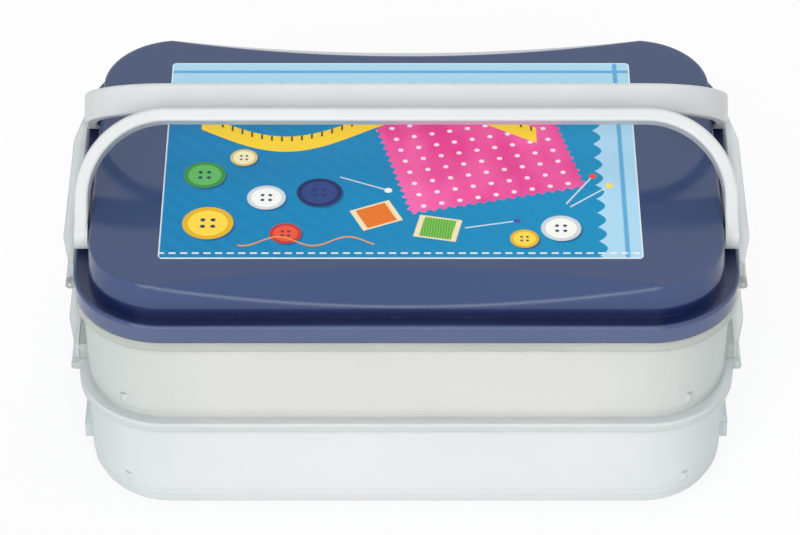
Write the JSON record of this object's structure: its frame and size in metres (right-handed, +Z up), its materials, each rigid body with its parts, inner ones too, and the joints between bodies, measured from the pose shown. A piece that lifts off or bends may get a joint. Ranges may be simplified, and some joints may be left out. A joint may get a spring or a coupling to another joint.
{
  "type": "stacking storage box",
  "caption": "Stacking plastic storage box for sewing and craft supplies: nesting translucent trays under a domed lid with folding carry handles and snap flaps on the ends.",
  "frame": {"origin": "middle of the lower tray's base, on the surface that the box stands on", "axes": "+X along the long side towards the right end, +Y from the front to the rear, +Z up"},
  "size_m": [0.3382, 0.22, 0.1797],
  "materials": {
    "tray": "milky translucent polypropylene, satin",
    "lid": "navy blue moulded plastic, glossy",
    "bail": "white moulded plastic, satin",
    "clip": "milky translucent polypropylene, satin",
    "label": null
  },
  "bodies": {
    "lower_tray": {"lower_tray": "tray"},
    "upper_tray": {"upper_tray": "tray"},
    "lid": {"lid": "lid", "label_card": "label"},
    "front_bail": {"front_bail": "bail"},
    "rear_bail": {"rear_bail": "bail"},
    "upper_clip_left": {"upper_clip_left": "clip"},
    "upper_clip_right": {"upper_clip_right": "clip"},
    "lower_clip_left": {"lower_clip_left": "clip"},
    "lower_clip_right": {"lower_clip_right": "clip"}
  },
  "joints": [
    {"name": "upper_tray_lift", "type": "slide", "parent": "lower_tray", "child": "upper_tray", "axis": [0, 0, 1], "range_m": [0, 0.04]},
    {"name": "lid_lift", "type": "slide", "parent": "upper_tray", "child": "lid", "axis": [0, 0, 1], "range_m": [0, 0.04]},
    {"name": "front_bail_swing", "type": "hinge", "parent": "lid", "child": "front_bail", "pos_m": [0, -0.0484, 0.132], "axis": [1, 0, 0], "range_deg": [0, 135.4]},
    {"name": "rear_bail_swing", "type": "hinge", "parent": "lid", "child": "rear_bail", "pos_m": [0, 0.0484, 0.132], "axis": [-1, 0, 0], "range_deg": [0, 135.4]},
    {"name": "upper_clip_left_turn", "type": "hinge", "parent": "upper_tray", "child": "upper_clip_left", "pos_m": [-0.1651, 0, 0.11145], "axis": [0, -1, 0], "range_deg": [0, 130]},
    {"name": "upper_clip_right_turn", "type": "hinge", "parent": "upper_tray", "child": "upper_clip_right", "pos_m": [0.1651, 0, 0.11145], "axis": [0, 1, 0], "range_deg": [0, 130]},
    {"name": "lower_clip_left_turn", "type": "hinge", "parent": "lower_tray", "child": "lower_clip_left", "pos_m": [-0.1651, 0, 0.05935], "axis": [0, -1, 0], "range_deg": [0, 130]},
    {"name": "lower_clip_right_turn", "type": "hinge", "parent": "lower_tray", "child": "lower_clip_right", "pos_m": [0.1651, 0, 0.05935], "axis": [0, 1, 0], "range_deg": [0, 130]}
  ],
  "couplings": [
    {"joint": "upper_clip_left_turn", "follows": "lid_lift", "rad_per_m": 55.85},
    {"joint": "upper_clip_right_turn", "follows": "lid_lift", "rad_per_m": 55.85},
    {"joint": "lower_clip_left_turn", "follows": "upper_tray_lift", "rad_per_m": 55.85},
    {"joint": "lower_clip_right_turn", "follows": "upper_tray_lift", "rad_per_m": 55.85}
  ]
}
